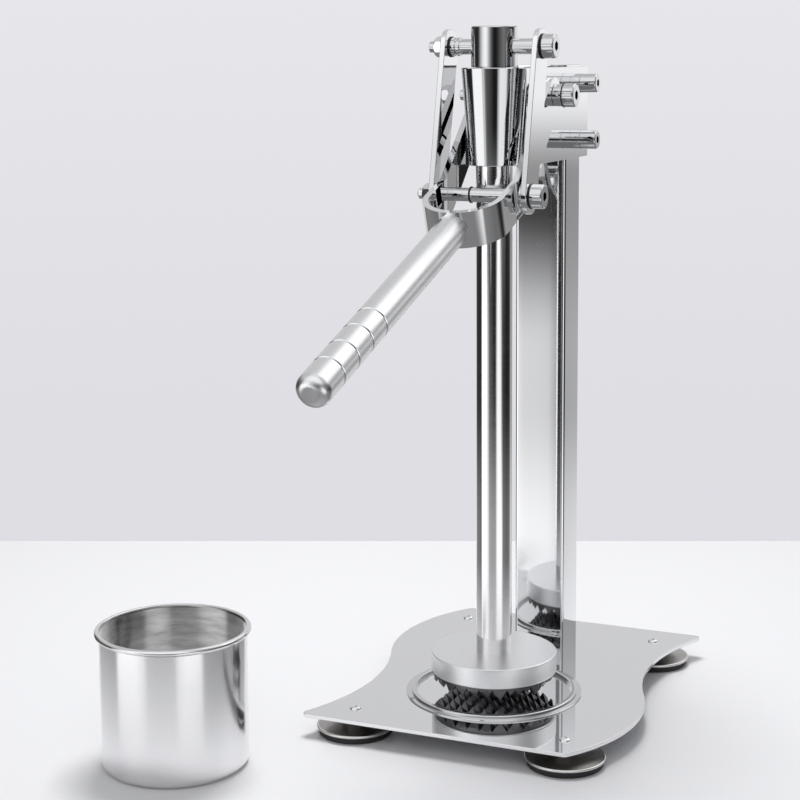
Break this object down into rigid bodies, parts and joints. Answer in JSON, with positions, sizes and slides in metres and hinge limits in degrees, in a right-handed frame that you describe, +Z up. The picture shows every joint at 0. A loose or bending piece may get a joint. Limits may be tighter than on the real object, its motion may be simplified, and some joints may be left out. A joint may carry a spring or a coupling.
{
  "type": "manual lever fruit press",
  "caption": "Hand lever press on a footed base plate: a column and guide sleeve hold a rod with a toothed press plate over a cup seat; loose cup.",
  "frame": {"origin": "centre of the cup seat on the base plate's top face", "axes": "+X to the right along the straight front edge, +Y back towards the column, +Z up along the press rod"},
  "size_m": [0.3378, 0.4816, 0.5024],
  "materials": {
    "mirror_steel": "mirror-polished stainless steel",
    "rod_steel": "ground and polished stainless steel",
    "satin_steel": "satin stainless steel",
    "cup_steel": "satin-polished drawn stainless steel, brushed round inside",
    "satin_aluminium": "fine satin, clear anodised",
    "nickel": "dark nickel plate",
    "rubber": "matt black rubber",
    "nylon": "black nylon"
  },
  "bodies": {
    "root": {"base_plate": "mirror_steel", "seat_ring": "mirror_steel", "seat_rivet": "satin_steel", "column": "mirror_steel", "column_cap": "mirror_steel", "head_plate_left": "mirror_steel", "head_plate_right": "mirror_steel", "saddle": "satin_steel", "sleeve": "mirror_steel", "guide_bush": "nylon", "clamp_bolt_upper": "mirror_steel", "clamp_bolt_lower": "mirror_steel", "clamp_nut_upper": "mirror_steel", "clamp_nut_lower": "mirror_steel", "clamp_collar_upper": "mirror_steel", "clamp_collar_lower": "mirror_steel", "fulcrum_bolt": "mirror_steel", "fulcrum_nut": "mirror_steel", "fulcrum_collar_left": "mirror_steel", "fulcrum_collar_right": "mirror_steel", "fulcrum_washers": "nylon", "foot_1": "nickel", "foot_pad_1": "rubber", "foot_screw_1": "mirror_steel", "foot_2": "nickel", "foot_pad_2": "rubber", "foot_screw_2": "mirror_steel", "foot_3": "nickel", "foot_pad_3": "rubber", "foot_screw_3": "mirror_steel", "foot_4": "nickel", "foot_pad_4": "rubber", "foot_screw_4": "mirror_steel"},
    "lever": {"yoke": "mirror_steel", "cross_bar": "mirror_steel", "cross_bar_ring": "nylon", "lower_collars": "mirror_steel", "lower_washers": "nylon", "handle": "satin_aluminium", "handle_end": "satin_aluminium", "handle_screw": "mirror_steel"},
    "rod": {"rod": "rod_steel", "cap": "mirror_steel", "press_plate": "satin_aluminium", "crusher": "satin_steel", "top_pin": "mirror_steel", "top_nut": "mirror_steel", "top_spacers": "mirror_steel", "top_washers": "nylon"},
    "links": {"link_left": "mirror_steel", "link_right": "mirror_steel", "link_bolt": "mirror_steel", "link_nut": "mirror_steel", "link_washers": "nylon"},
    "cup": {"cup": "cup_steel"}
  },
  "joints": [
    {"name": "lever_swing", "type": "hinge", "parent": "root", "child": "lever", "pos_m": [0, 0.0485, 0.436], "axis": [-1, 0, 0], "range_deg": [0, 75]},
    {"name": "rod_slide", "type": "slide", "parent": "root", "child": "rod", "axis": [0, 0, 1], "range_m": [0, 0.1158]},
    {"name": "link_swing", "type": "hinge", "parent": "rod", "child": "links", "pos_m": [0, 0, 0.4711], "axis": [-1, 0, 0], "range_deg": [0, 7.1]},
    {"name": "cup_lift", "type": "slide", "parent": "root", "child": "cup", "axis": [0, 0, 1], "range_m": [0, 0.12]}
  ],
  "couplings": [
    {"joint": "rod_slide", "follows": "lever_swing", "m_per_rad": 0.088356},
    {"joint": "link_swing", "follows": "lever_swing", "ratio": 0.093657}
  ]
}
